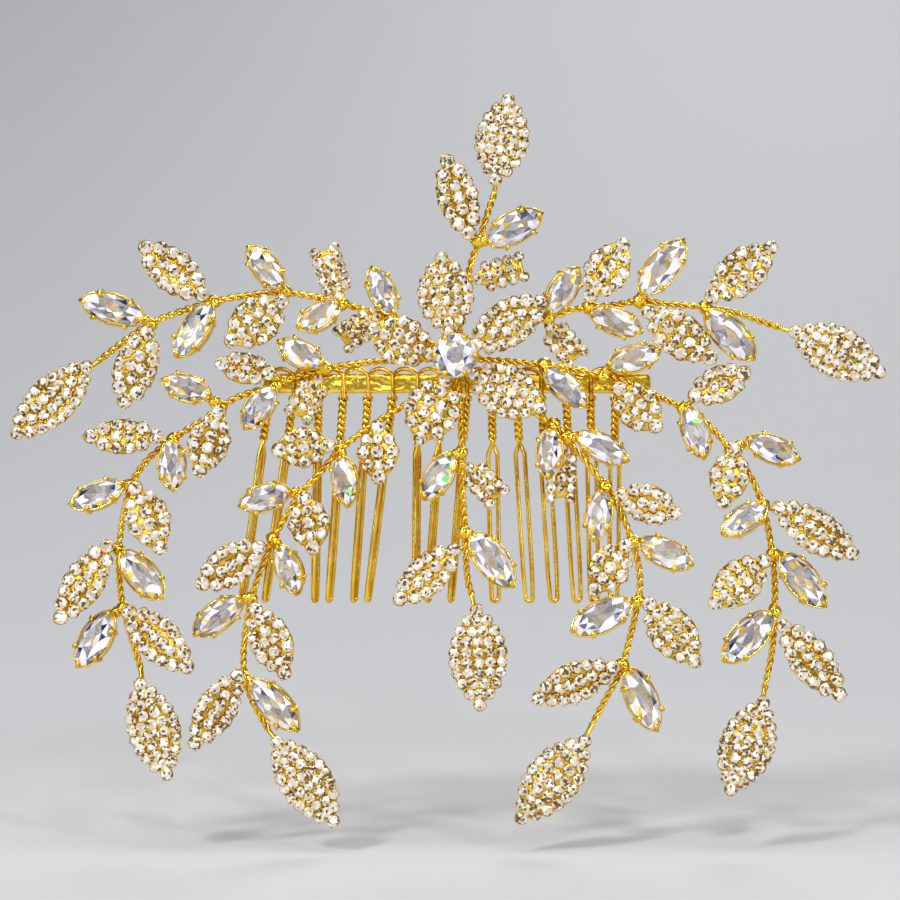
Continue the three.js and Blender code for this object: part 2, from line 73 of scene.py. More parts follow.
# where things are: the jewelled front faces -Y, and layout points are (x, z) in mm that repeat the
# part's own layout. An arm is soldered to the hub, its stem is beyond the bend. Stones and sprigs are
# (x, z, direction in degrees, length, width) from the end that is fastened to the wire.
sprays = {
    "top": dict(
        arm=[(0, 5), (0.8, 12), (1.7, 17.2)], arch=1.2,
        stem=[(2.6, 20.8), (3.6, 23.4), (4.9, 27.6), (6.2, 31.4)],
        armStones=[], armSprigs=[(2.4, 16.8, 16, 9.4, 4.9)],
        stones=[(4.6, 22.8, 29, 10.6, 5)], sprigs=[]),
    "upper_right": dict(
        arm=[(2, 5.5), (9, 8.6), (14, 10.4), (16.6, 11.2)], arch=1.5,
        stem=[(20, 12.2), (26, 12.8), (30, 13.4), (34.3, 12.9), (40, 12.4), (45, 11.6), (49.5, 10.2),
              (53.6, 8.9)],
        armStones=[(14.6, 11.2, 57, 9.4, 4.4)], armSprigs=[(14.6, 10, -50, 8.4, 4.9)],
        stones=[(21.5, 11.9, -22, 9.6, 4.2), (29.9, 14.1, 52, 11.7, 5), (40.5, 11.9, -45, 11.5, 5)],
        sprigs=[]),
    "outer_right": dict(
        arm=[(3, 4), (10.2, 3.4), (17.1, 2.6), (23, 1.4), (28, 0), (32.4, -1.9)], arch=1.6,
        stem=[(36.6, -3.9), (40.5, -6.3), (44.2, -10.3), (47.5, -14.6), (49.8, -19.6), (51.2, -26),
              (51.9, -32), (52, -38), (51.6, -44), (50.5, -50.2)],
        armStones=[(14.2, 2.6, -42, 9.7, 4.2), (24.4, 2.6, 16, 9.4, 4.2)], armSprigs=[],
        stones=[(37.5, -3.6, -71, 9.5, 4.2), (47, -9.2, -22, 9.6, 4.2), (50.7, -19.8, 214, 9.3, 4.2),
                (52.6, -27.8, -51, 11.5, 5), (51.7, -37.4, 225, 11.8, 5)], sprigs=[]),
    "inner_right": dict(
        arm=[(2.5, 0.5), (9, -3), (16.1, -7), (19, -10.4)], arch=1.4,
        stem=[(22.1, -14.1), (25.1, -18.1), (27.4, -22.6), (29.4, -28.6), (29.9, -33.1), (29.1, -38.2),
              (26.9, -46.7), (24.8, -51), (22, -56.4)],
        armStones=[(15.4, -7.1, 268, 8.8, 4.2), (19.4, -8.3, -29, 9.9, 4.2)],
        armSprigs=[(17.2, -10, -91, 9.6, 4.4)],
        stones=[(24, -17.2, 260, 9, 4.2), (29.4, -25.8, -25, 10, 4.4), (28.8, -35.6, 207, 11.6, 5),
                (27.7, -46.4, -66, 11.6, 5)], sprigs=[]),
    "centre": dict(
        arm=[(0, 1), (0.5, -5)], arch=1,
        stem=[(0.7, -10), (0.6, -14), (1, -20), (1.3, -26), (1.6, -31.6), (2.4, -35)],
        armStones=[], armSprigs=[],
        stones=[(-0.6, -11.3, 239, 9.4, 4.4), (2.2, -24.4, -53, 11.5, 5)],
        sprigs=[(1.3, -13.3, -46, 8.3, 4.8)]),
    "inner_left": dict(
        arm=[(-2.5, 1), (-7.5, -2.8), (-9.6, -4.2)], arch=1.4,
        stem=[(-13, -6.3), (-16, -8.4), (-19.3, -11), (-22.6, -14.8), (-25.8, -18.3), (-28.8, -23.1),
              (-31.2, -28.1), (-33.6, -35), (-34.9, -42.2), (-34.9, -48.2), (-33.3, -53), (-30.9, -57.2)],
        armStones=[], armSprigs=[],
        stones=[(-18.9, -11.6, -82, 9, 4.2), (-27, -17.4, 197, 9.2, 4.2), (-29.2, -26.1, -68, 9.2, 4.2),
                (-35, -35, 217, 10.2, 4.6), (-34, -48.4, -45, 11.8, 5)], sprigs=[]),
    "outer_left": dict(
        arm=[(-3.5, 4), (-13.7, 3.5), (-20.8, 2.5), (-26.2, 1.1), (-31, -0.6), (-35, -1.9)], arch=1.6,
        stem=[(-38.3, -3.5), (-41.3, -5.8), (-46, -8.8), (-50.3, -12.2), (-53.1, -16.2), (-54.7, -22),
              (-55.4, -28), (-55.1, -35), (-53.9, -40.4), (-52, -47)],
        armStones=[(-21.8, 2.7, 153, 8.8, 4.2), (-29.9, -0.3, 235, 9, 4.2)],
        armSprigs=[(-22.5, 1.3, 241, 8.3, 4.8)],
        stones=[(-40.2, -2.3, 162, 8.7, 4.2), (-46.8, -9, -88, 8.9, 4.2), (-54.1, -16.6, 202, 9.8, 4.2),
                (-55, -27.4, -49, 10.7, 4.8), (-56.2, -37.2, 239, 11, 5)], sprigs=[]),
    "upper_left": dict(
        arm=[(-3, 5.5), (-10.1, 10), (-14.7, 11.8)], arch=1.5,
        stem=[(-18.5, 12.9), (-22.2, 13.9), (-28.6, 14.8), (-35, 14.2), (-40.1, 13.2), (-45, 11.8),
              (-50.3, 9.7), (-54.6, 6.9), (-59, 3.6)],
        armStones=[(-10.4, 10.9, 116, 9, 4.2)], armSprigs=[(-12.4, 11.3, 213, 8.4, 4.9)],
        stones=[(-19, 13, 211, 8.4, 4.2), (-28.3, 15.2, 129, 9.3, 4.2), (-39.9, 13.2, 238, 11, 4.8),
                (-50.8, 10.4, 163, 11.3, 4.8)],
        sprigs=[(-19.1, 13.4, 108, 9.6, 4.7)]),
}
jointAt = {j["name"]: Vector(j["pos_m"]) / mm for j in frame["joints"]}
bodyOf = {node: body for body, nodes in frame["record"]["behaviour"]["bodies"].items() for node in nodes}
stemDepth = jointAt["top_bend"].y
cupLow, cupHigh = (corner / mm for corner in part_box("centre_setting"))
flower = Vector(((cupLow.x + cupHigh.x) / 2, stemDepth, (cupLow.z + cupHigh.z) / 2))
front = Vector((0, -1, 0))
random.seed(7)


# materials
def newGroup(name, inputs, outputs):
    group = bpy.data.node_groups.new(name, "ShaderNodeTree")
    for label, kind, value in inputs:
        socket = group.interface.new_socket(label, in_out="INPUT", socket_type=kind)
        socket.default_value = value
    for label, kind in outputs:
        group.interface.new_socket(label, in_out="OUTPUT", socket_type=kind)
    return group, group.nodes.new("NodeGroupInput"), group.nodes.new("NodeGroupOutput")


def mixColours(group, mask, first, second):
    mix = group.nodes.new("ShaderNodeMix")
    mix.data_type = "RGBA"
    group.links.new(mask, mix.inputs["Factor"])
    group.links.new(first, mix.inputs["A"])
    group.links.new(second, mix.inputs["B"])
    return mix.outputs["Result"]


gilding = dict(driftScale=260, driftDetail=3, deepFrom=0.38, deepTo=0.68, dentDetail=2, rub=0.14, bump=0.5)
# how vivid the painted coloured flashes in the stones are
paintedFlash = dict(saturation=0.75, value=1.4)


def makePlating():  # polished gold plate: its tone drifts, and it has soft dents and a fine rub
    group, given, out = newGroup(
        "goldPlating",
        [("Vector", "NodeSocketVector", (0, 0, 0)), ("Bright", "NodeSocketColor", (1, 0.6, 0.1, 1)),
         ("Deep", "NodeSocketColor", (0.6, 0.25, 0.02, 1)), ("Dent Scale", "NodeSocketFloat", 900),
         ("Roughness", "NodeSocketFloat", 0.2)],
        [("Color", "NodeSocketColor"), ("Roughness", "NodeSocketFloat"), ("Height", "NodeSocketFloat")])
    nodes, links = group.nodes, group.links
    drift = nodes.new("ShaderNodeTexNoise")
    drift.inputs["Scale"].default_value = gilding["driftScale"]
    drift.inputs["Detail"].default_value = gilding["driftDetail"]
    links.new(given.outputs["Vector"], drift.inputs["Vector"])
    tone = nodes.new("ShaderNodeMapRange")
    tone.inputs["From Min"].default_value = gilding["deepFrom"]
    tone.inputs["From Max"].default_value = gilding["deepTo"]
    links.new(drift.outputs["Fac"], tone.inputs["Value"])
    links.new(mixColours(group, tone.outputs["Result"], given.outputs["Bright"], given.outputs["Deep"]),
              out.inputs["Color"])
    dents = nodes.new("ShaderNodeTexNoise")
    dents.inputs["Detail"].default_value = gilding["dentDetail"]
    links.new(given.outputs["Vector"], dents.inputs["Vector"])
    links.new(given.outputs["Dent Scale"], dents.inputs["Scale"])
    links.new(dents.outputs["Fac"], out.inputs["Height"])
    rub = nodes.new("ShaderNodeMath")
    rub.operation = "MULTIPLY_ADD"
    rub.inputs[1].default_value = gilding["rub"]
    links.new(drift.outputs["Fac"], rub.inputs[0])
    links.new(given.outputs["Roughness"], rub.inputs[2])
    links.new(rub.outputs["Value"], out.inputs["Roughness"])
    return group


def makePaintedStoneLight():  # painted light: cells in the colour stand for what the back facets of a cut stone throw, with painted dark reflections (deep), the body colour and painted glints (bright), some as painted coloured flashes
    group, given, out = newGroup(
        "paintedStoneGlints",
        [("Vector", "NodeSocketVector", (0, 0, 0)), ("Body", "NodeSocketColor", (1, 1, 1, 1)),
         ("Deep", "NodeSocketColor", (0.3, 0.3, 0.3, 1)), ("Bright", "NodeSocketColor", (1, 1, 1, 1)),
         ("Scale", "NodeSocketFloat", 900), ("Painted Shade Share", "NodeSocketFloat", 0.25),
         ("Painted Glint Share", "NodeSocketFloat", 0.3), ("Painted Flash Share", "NodeSocketFloat", 0.1)],
        [("Color", "NodeSocketColor")])
    nodes, links = group.nodes, group.links
    cells = nodes.new("ShaderNodeTexVoronoi")
    links.new(given.outputs["Vector"], cells.inputs["Vector"])
    links.new(given.outputs["Scale"], cells.inputs["Scale"])
    chance = nodes.new("ShaderNodeSeparateColor")
    links.new(cells.outputs["Color"], chance.inputs["Color"])

    def under(channel, share):  # 1 in the cells whose random number is below the share
        test = nodes.new("ShaderNodeMath")
        test.operation = "LESS_THAN"
        links.new(chance.outputs[channel], test.inputs[0])
        links.new(given.outputs[share], test.inputs[1])
        return test.outputs["Value"]

    vivid = nodes.new("ShaderNodeHueSaturation")
    vivid.inputs["Saturation"].default_value = paintedFlash["saturation"]
    vivid.inputs["Value"].default_value = paintedFlash["value"]
    links.new(cells.outputs["Color"], vivid.inputs["Color"])
    shaded = mixColours(group, under("Red", "Painted Shade Share"), given.outputs["Body"], given.outputs["Deep"])
    lit = mixColours(group, under("Green", "Painted Glint Share"), shaded, given.outputs["Bright"])
    fiery = mixColours(group, under("Blue", "Painted Flash Share"), lit, vivid.outputs["Color"])
    links.new(fiery, out.inputs["Color"])
    return group


plating, paintedStoneLight = makePlating(), makePaintedStoneLight()


def newMaterial(name, group):
    material = bpy.data.materials.new(name)
    material.use_nodes = True
    nodes, links = material.node_tree.nodes, material.node_tree.links
    effect = nodes.new("ShaderNodeGroup")
    effect.node_tree = group
    place = nodes.new("ShaderNodeTexCoord")
    links.new(place.outputs["Object"], effect.inputs["Vector"])
    shader = nodes["Principled BSDF"]
    links.new(effect.outputs["Color"], shader.inputs["Base Color"])
    return material, effect, shader


def goldMaterial(name, bright, deep, roughness, dentScale, dentDepth):
    material, effect, shader = newMaterial(name, plating)
    effect.inputs["Bright"].default_value = bright
    effect.inputs["Deep"].default_value = deep
    effect.inputs["Dent Scale"].default_value = dentScale
    effect.inputs["Roughness"].default_value = roughness
    shader.inputs["Metallic"].default_value = 1
    nodes, links = material.node_tree.nodes, material.node_tree.links
    links.new(effect.outputs["Roughness"], shader.inputs["Roughness"])
    bump = nodes.new("ShaderNodeBump")
    bump.inputs["Strength"].default_value = gilding["bump"]
    bump.inputs["Distance"].default_value = dentDepth
    links.new(effect.outputs["Height"], bump.inputs["Height"])
    links.new(bump.outputs["Normal"], shader.inputs["Normal"])
    return material


def stoneMaterial(name, body, deep, bright, scale, shares, metallic, transmission, ior, roughness):
    material, effect, shader = newMaterial(name, paintedStoneLight)
    effect.inputs["Body"].default_value = body
    effect.inputs["Deep"].default_value = deep
    effect.inputs["Bright"].default_value = bright
    effect.inputs["Scale"].default_value = scale
    for label, share in zip(("Painted Shade Share", "Painted Glint Share", "Painted Flash Share"), shares):
        effect.inputs[label].default_value = share
    shader.inputs["Metallic"].default_value = metallic
    shader.inputs["Transmission Weight"].default_value = transmission
    shader.inputs["IOR"].default_value = ior
    shader.inputs["Roughness"].default_value = roughness
    return material


white, richGold = (1, 1, 1, 1), (1.0, 0.73, 0.1, 1)
finish = dict(  # a stone's shares are how much of it is painted dark reflection (deep), painted glint (bright) and painted coloured flash
    wire=goldMaterial("polishedWire", bright=richGold, deep=(0.82, 0.46, 0.02, 1), roughness=0.07,
                      dentScale=1400, dentDepth=0.00006),
    bar=goldMaterial("hammeredBar", bright=richGold, deep=(0.8, 0.45, 0.03, 1), roughness=0.1,
                     dentScale=420, dentDepth=0.0005),
    cup=goldMaterial("castCups", bright=(1.0, 0.7, 0.1, 1), deep=(0.62, 0.33, 0.02, 1), roughness=0.12,
                     dentScale=1800, dentDepth=0.0001),
    # the stone finishes paint glints, dark reflections and coloured flashes into the base colour as cells
    pave=stoneMaterial("foiledStonesPaintedGlints", body=(0.84, 0.72, 0.53, 1), deep=(0.2, 0.12, 0.04, 1),
                       bright=(1, 0.98, 0.94, 1), scale=2300, shares=(0.38, 0.36, 0.02),
                       metallic=0.5, transmission=0, ior=1.7, roughness=0.06),
    clear=stoneMaterial("clearStones", body=(0.96, 0.95, 1, 1), deep=(0.85, 0.86, 0.95, 1),
                        bright=white, scale=1100, shares=(0.2, 0.3, 0.01),
                        metallic=0, transmission=0.82, ior=1.5, roughness=0.01),
    foil=stoneMaterial("silverFoilAndPaintedReflections", body=(0.92, 0.89, 0.98, 1), deep=(0.66, 0.66, 0.84, 1),
                       bright=white, scale=900, shares=(0.2, 0.4, 0.015),
                       metallic=0.25, transmission=0, ior=1.8, roughness=0.06),
    floor=stoneMaterial("goldFacetsPaintedReflections", body=(1, 0.7, 0.12, 1), deep=(0.8, 0.42, 0.03, 1),
                        bright=(1, 0.92, 0.6, 1), scale=1000, shares=(0.2, 0.3, 0.02),
                        metallic=0.5, transmission=0, ior=1.7, roughness=0.08),
    # the dark facets are painted shade, put where a stone shows dark reflections
    shade=stoneMaterial("paintedShadeFacets", body=(0.16, 0.18, 0.3, 1), deep=(0.05, 0.05, 0.1, 1),
                        bright=(0.5, 0.52, 0.7, 1), scale=900, shares=(0.3, 0.3, 0.01),
                        metallic=0.6, transmission=0, ior=1.8, roughness=0.05),
)
print("materials ready")


# tools
def addPiece(name, bm, materials, body=None, smooth=True):
    mesh = bpy.data.meshes.new(name)
    bm.to_mesh(mesh)
    bm.free()
    mesh.transform(Matrix.Scale(mm, 4))
    mesh.polygons.foreach_set("use_smooth", [smooth] * len(mesh.polygons))
    piece = bpy.data.objects.new(name, mesh)
    bpy.context.scene.collection.objects.link(piece)
    for material in materials:
        mesh.materials.append(material)
    if body:
        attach(piece, body)
    return piece


def toTemplate(bm, name):
    mesh = bpy.data.meshes.new(name)
    bm.to_mesh(mesh)
    bm.free()
    return mesh


def stamp(bm, mesh, matrix):
    before = len(bm.verts)
    bm.from_mesh(mesh)
    bm.verts.ensure_lookup_table()
    bmesh.ops.transform(bm, matrix=matrix, verts=bm.verts[before:])


def stampOnce(bm, shape, matrix):
    mesh = toTemplate(shape, "shape")
    stamp(bm, mesh, matrix)
    bpy.data.meshes.remove(mesh)


def smoothRoute(points, step, finer=16):  # evenly spaced points on a smooth curve through the given ones
    ends = [points[0] * 2 - points[1]] + points + [points[-1] * 2 - points[-2]]
    fine = []
    for i in range(1, len(ends) - 2):
        a, b, c, d = ends[i - 1:i + 3]
        for k in range(finer):
            t = k / finer
            fine.append(0.5 * (2 * b + (c - a) * t + (2 * a - 5 * b + 4 * c - d) * t * t
                               + (3 * b - a - 3 * c + d) * t ** 3))
    fine.append(points[-1])
    return spacedPoints(fine, step)


def spacedPoints(line, step):
    even, owed = [line[0]], 0.0
    for a, b in zip(line, line[1:]):
        span = (b - a).length
        while owed + span >= step:
            a = a + (b - a) * ((step - owed) / span)
            span = (b - a).length
            even.append(a)
            owed = 0.0
        owed += span
    return even


def addTube(bm, points, radius, roundness=1):
    curve = bpy.data.curves.new("tube", "CURVE")
    curve.dimensions = "3D"
    curve.bevel_depth = radius
    curve.bevel_resolution = roundness
    curve.use_fill_caps = True
    line = curve.splines.new("POLY")
    line.points.add(len(points) - 1)
    for spot, point in zip(line.points, points):
        spot.co = (*point, 1)
    holder = bpy.data.objects.new("tube", curve)
    bpy.context.scene.collection.objects.link(holder)
    before = len(bm.verts)
    bm.from_mesh(holder.to_mesh())
    holder.to_mesh_clear()
    bpy.data.objects.remove(holder)
    bpy.data.curves.remove(curve)
    bm.verts.ensure_lookup_table()
    return bm.verts[before:]


def helix(route, radius, pitch, phase):
    turned, travelled = [], 0.0
    side = None
    for i, point in enumerate(route):
        ahead = (route[min(i + 1, len(route) - 1)] - route[max(i - 1, 0)]).normalized()
        side = ahead.cross(front) if side is None else side - ahead * side.dot(ahead)
        side.normalize()
        if i:
            travelled += (point - route[i - 1]).length
        turn = phase + 2 * math.pi * travelled / pitch
        turned.append(point + (side * math.cos(turn) + ahead.cross(side) * math.sin(turn)) * radius)
    return turned


def pieceFrame(x, depth, z, direction, roll=0, lift=0):  # local +X runs along the piece, +Z to the front
    turn = Matrix.Rotation(math.pi / 2, 4, "X") @ Matrix.Rotation(math.radians(direction), 4, "Z")
    turn = turn @ Matrix.Rotation(math.radians(-lift), 4, "Y") @ Matrix.Rotation(math.radians(roll), 4, "X")
    return Matrix.Translation((x, depth, z)) @ turn


def nearest(route, x, z):
    return min(route, key=lambda p: (p.x - x) ** 2 + (p.z - z) ** 2)


def addRing(bm, count, radius, height, halfStep=False):
    made = bmesh.ops.create_circle(bm, segments=count, radius=radius)["verts"]
    turn = math.pi / count if halfStep else 0
    bmesh.ops.rotate(bm, verts=made, matrix=Matrix.Rotation(turn, 3, "Z"))
    bmesh.ops.translate(bm, verts=made, vec=(0, 0, height))


def openCup(bm, sides, foot, mouth, depth):  # a tapered cup with no lid
    bmesh.ops.create_cone(bm, cap_ends=True, segments=sides, radius1=foot, radius2=mouth, depth=depth)
    lid = max(bm.faces, key=lambda f: f.calc_center_median().z)
    bmesh.ops.delete(bm, geom=[lid], context="FACES_ONLY")


def addBead(bm, radius, subdivisions=2):
    return bmesh.ops.create_icosphere(bm, subdivisions=subdivisions, radius=radius)["verts"]


def cutStone(bm):  # one flat facet for each side of the shape round the rings
    loose = bmesh.ops.convex_hull(bm, input=bm.verts[:])["geom_interior"]
    bmesh.ops.delete(bm, geom=[g for g in loose if isinstance(g, bmesh.types.BMVert)])
    bmesh.ops.dissolve_limit(bm, angle_limit=0.02, verts=bm.verts[:], edges=bm.edges[:])
    bmesh.ops.recalc_face_normals(bm, faces=bm.faces[:])


# small stones and their cups
pave = dict(radius=1.1, sides=10, shoulder=0.89, shoulderShare=0.5, table=0.5, tableSides=5, crown=0.62,
            belly=0.4, bellyShare=0.6, bellySides=8, wall=0.7, foot=0.75, mouth=1.03, cupRise=0.04,
            claws=4, bead=0.2, beadOut=0.97, beadRise=0.16)


def makePaveStone():
    bm = bmesh.new()
    addRing(bm, pave["sides"], pave["radius"], 0)
    addRing(bm, pave["sides"], pave["shoulder"], pave["crown"] * pave["shoulderShare"], halfStep=True)
    addRing(bm, pave["tableSides"], pave["table"], pave["crown"])
    addRing(bm, pave["bellySides"], pave["radius"] * pave["bellyShare"], -pave["belly"])
    cutStone(bm)
    return toTemplate(bm, "paveStone")


def makePaveCup():  # a tapered wall with beads that hold the stone
    bm = bmesh.new()
    foot, mouth = pave["radius"] * pave["foot"], pave["radius"] * pave["mouth"]
    wall = bmesh.ops.create_cone(bm, cap_ends=True, segments=pave["sides"], radius1=foot, radius2=mouth,
                                 depth=pave["wall"])["verts"]
    bmesh.ops.translate(bm, verts=wall, vec=(0, 0, -pave["wall"] / 2 + pave["cupRise"]))
    for k in range(pave["claws"]):
        turn = Matrix.Rotation(math.tau * (k + 0.5) / pave["claws"], 3, "Z")
        spot = turn @ Vector((pave["radius"] * pave["beadOut"], 0, pave["beadRise"]))
        bmesh.ops.translate(bm, verts=addBead(bm, pave["bead"], 1), vec=spot)
    return toTemplate(bm, "paveCup")


paveStone, paveCup = makePaveStone(), makePaveCup()


# leaves: rows of stones stand about rowShare of a pitch apart. A row narrower than single of a pitch holds
# one stone, and a row takes one more once over spare of a gap is left. Leaves whose length times width is
# over fineFrom take finePitch. least and most limit a stone's scale, seat is its height over the plate,
# and the neck is the wire that runs from the stem to under the plate.
leaf = dict(pitch=2.14, finePitch=1.92, fineFrom=134, rowShare=0.9, single=0.8, spare=0.4, least=0.87,
            most=1.12, wider=1.07, taper=0.95, foot=1.0, tip=1.72, dome=0.4, domeAlong=0.6, plate=0.45,
            plateShare=0.93, plateFrom=0.06, plateSpan=0.86, plateGrid=(18, 6), merge=0.02, seat=0.8,
            tilt=0.17, neck=0.42, neckEnd=(2, 0, 0.2), neckBow=0.1)
sprig = dict(foot=0.3, flare=3, leastRows=4, rowPitch=1.72, columnPitch=1.68, plateShare=0.68, scale=0.82)


def halfWidth(share, width):
    share = min(max(share, 0), 1)
    return width / 2 * (4 * share * (1 - share)) ** leaf["taper"]


def domeAt(point, length, width):
    across, along = 2 * point.y / width, 2 * point.x / length - 1
    return leaf["dome"] * (1 - across * across - leaf["domeAlong"] * along * along)


def leafSpots(length, width):  # rows across the leaf, each filled with stones from edge to edge
    pitch = leaf["finePitch"] if length * width > leaf["fineFrom"] else leaf["pitch"]
    span = length - leaf["foot"] - leaf["tip"]
    rows = round(span / pitch / leaf["rowShare"])
    spots = []
    for row in range(rows + 1):
        half = halfWidth(row / rows, width - pitch)
        middle = Vector((leaf["foot"] + span * row / rows, 0, 0))
        if 2 * half < leaf["single"] * pitch:
            spots.append((middle, leaf["most"] * pitch / leaf["pitch"]))
            continue
        gaps = math.ceil(2 * half / pitch - leaf["spare"])
        scale = min(leaf["most"], max(leaf["least"], (half / gaps + span / rows / 2) / leaf["pitch"]))
        spots += [(middle + Vector((0, half * (2 * k / gaps - 1), 0)), scale) for k in range(gaps + 1)]
    return spots


def sprigSpots(length):  # rows of three with a single stone at the base and a notch at the tip
    rows = max(sprig["leastRows"], round(length / sprig["rowPitch"]))
    step = length / rows
    spots = []
    for row in range(rows):
        for column in (-1, 0, 1):
            if (row == 0 and column) or (row == rows - 1 and not column):
                continue
            spots.append((Vector((step * (row + 0.5), column * sprig["columnPitch"], 0)), sprig["scale"]))
    return spots


def addPlate(bmGold, length, width, place, blunt):
    plate = bmesh.new()
    lengthwise, crosswise = leaf["plateGrid"]
    grid = bmesh.ops.create_grid(plate, x_segments=lengthwise, y_segments=crosswise, size=1)["verts"]
    for vert in grid:
        share = (vert.co.x + 1) / 2
        half = halfWidth(share, width) * leaf["plateShare"]
        if blunt:  # narrow at the foot, where there is one stone only
            half = width / 2 * sprig["plateShare"] * min(1, sprig["foot"] + share * sprig["flare"])
        vert.co = Vector(((leaf["plateFrom"] + leaf["plateSpan"] * share) * length, vert.co.y * half, 0))
        vert.co.z = domeAt(vert.co, length, width)
    bmesh.ops.remove_doubles(plate, verts=plate.verts[:], dist=leaf["merge"])
    bmesh.ops.recalc_face_normals(plate, faces=plate.faces[:])
    bmesh.ops.solidify(plate, geom=plate.faces[:], thickness=-leaf["plate"])
    bmesh.ops.recalc_face_normals(plate, faces=plate.faces[:])
    stampOnce(bmGold, plate, place)


def addPave(bmGold, bmStone, length, width, place, blunt=False):
    addPlate(bmGold, length, width, place, blunt)
    for spot, scale in sprigSpots(length) if blunt else leafSpots(length, width):
        spot.z = domeAt(spot, length, width) + leaf["seat"]
        lean = Matrix.Rotation(-8 * leaf["dome"] * spot.y / width ** 2, 4, "X")  # square to the dome
        spin = Matrix.Rotation(random.uniform(0, math.tau), 4, "Z")
        tilt = Matrix.Rotation(random.uniform(-1, 1) * leaf["tilt"], 4, "X")
        tilt = tilt @ Matrix.Rotation(random.uniform(-1, 1) * leaf["tilt"], 4, "Y")
        seat = place @ Matrix.Translation(spot) @ lean @ Matrix.Scale(scale, 4)
        stamp(bmGold, paveCup, seat @ spin)
        stamp(bmStone, paveStone, seat @ tilt @ spin)


def plateFrame(node, origin):  # a CAD plate's own place: base end, direction and front, length and width
    mesh = frame["nodes"][node].data
    corners = [v.co / mm for v in mesh.vertices]
    ends = max(((a, b) for a in corners for b in corners), key=lambda pair: (pair[0] - pair[1]).length)
    facing = max((p for p in mesh.polygons if p.normal.y < 0), key=lambda p: p.area).normal
    base, tip = sorted(ends, key=lambda p: (p - origin(p)).length)
    along = tip - base
    along -= facing * along.dot(facing)
    length = along.length
    along.normalize()
    across = facing.cross(along)
    reach = [(c - base).dot(across) for c in corners]
    height = [(c - base).dot(facing) for c in corners]
    turn = Matrix((along, across, facing)).transposed().to_4x4()
    return Matrix.Translation(base + facing * min(height)) @ turn, length, max(reach) - min(reach)


def makeLeaf(node, body, origin):
    place, length, width = plateFrame(node, origin)
    width *= leaf["wider"]
    bmGold, bmStone = bmesh.new(), bmesh.new()
    addPave(bmGold, bmStone, length, width, place)
    wireEnd = origin(place.translation)
    under = place @ Vector(leaf["neckEnd"])
    addTube(bmGold, [wireEnd, (wireEnd + under) / 2 + front * leaf["neckBow"], under], leaf["neck"])
    gold = addPiece(node + "_cups", bmGold, [finish["cup"]], body)
    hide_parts(node)
    addPiece(node + "_stones", bmStone, [finish["pave"]], body, smooth=False)


# boat-shaped stones in claw baskets
# stone finishes: clear, then silver, gold and dark facets painted as reflections
jewel = [finish["clear"], finish["foil"], finish["floor"], finish["shade"]]
# table, shoulder, belly and keel are shares of the outline, with their heights in mm from the girdle; frontShares
# and backShares are the shares of front and back facets painted silver, gold and dark as painted reflections
boat = dict(sides=18, edge=0.05, table=0.5, tableHeight=0.95, shoulder=0.8, shoulderHeight=0.6,
            shoulderVary=0.04, belly=0.64, bellyDepth=0.95, bellyVary=0.06, keel=0.26, keelDepth=1.7,
            keelSides=4, endRoom=1.1, widen=1.02, point=1.8, frontShares=(0.42, 0.1, 0.1),
            backShares=(0.42, 0.42, 0.16))
# claws stand at these degrees round the rim, and clawTop is (share of the outline, height over the rim)
basket = dict(girdle=0.5, rimBelow=0.12, base=-1.45, foot=0.87, wall=0.16, sides=24, endShare=0.7,
              widen=1.1, rim=0.17, rimSteps=36, claws=(0, 58, 122, 180, 238, 302), clawWire=0.3,
              clawOut=0.2, clawTop=((1.0, -0.3), (1.02, 0.5), (0.9, 0.78)), bead=0.4, beadFlat=0.7,
              arm=0.5, armAlong=-0.3, armDeep=0.7, neckAlong=-0.42, forward=1.0,
              rolls=(20, -15, 23, -18), lift=3)
facets = dict(facingFront=-0.05, mostCorners=4)  # larger facets, such as the table, stay clear


def boatPoint(turn, scale, height, length, width):
    along, across = math.cos(turn), math.sin(turn)
    half = (1 - min(abs(along), 1) ** boat["point"]) ** 0.5
    return Vector((along * scale * length / 2, math.copysign(half, across) * scale * width / 2, height))


def toBoat(bm, length, width):  # draws round rings of radius up to 1 out into pointed boats
    for vert in bm.verts:
        turn = math.atan2(vert.co.y, vert.co.x)
        vert.co = boatPoint(turn, vert.co.xy.length, vert.co.z, length, width)


def paintFacetReflections(bm, frontShares, backShares):  # painted reflections: shares of facets painted silver, gold and dark (painted shade) at random, as stand-ins for what each facet reflects; the others stay clear
    for face in bm.faces:
        chance = random.random()
        if len(face.verts) > facets["mostCorners"]:
            continue
        shares = frontShares if face.normal.z > facets["facingFront"] else backShares
        for slot, share in enumerate(shares, 1):
            if 0 < chance <= share:
                face.material_index = slot
            chance -= share


def makeStone(name, body, place, length, width):
    bm = bmesh.new()
    half = boat["sides"] // 2
    shoulderHeight = boat["shoulderHeight"] + random.uniform(-boat["shoulderVary"], boat["shoulderVary"])
    bellyHeight = -boat["bellyDepth"] + random.uniform(-boat["bellyVary"], boat["bellyVary"])
    addRing(bm, boat["sides"], 1, boat["edge"])
    addRing(bm, boat["sides"], 1, -boat["edge"])
    addRing(bm, half, boat["shoulder"], shoulderHeight, halfStep=True)
    addRing(bm, half, boat["table"], boat["tableHeight"])
    addRing(bm, half, boat["belly"], bellyHeight, halfStep=True)
    addRing(bm, boat["keelSides"], boat["keel"], -boat["keelDepth"])
    toBoat(bm, length - boat["endRoom"], width * boat["widen"])
    cutStone(bm)
    # facets painted silver, gold and dark at random as painted reflections
    paintFacetReflections(bm, boat["frontShares"], boat["backShares"])
    bmesh.ops.transform(bm, matrix=place @ Matrix.Translation((0, 0, basket["girdle"])), verts=bm.verts[:])
    addPiece(name, bm, jewel, body, smooth=False)


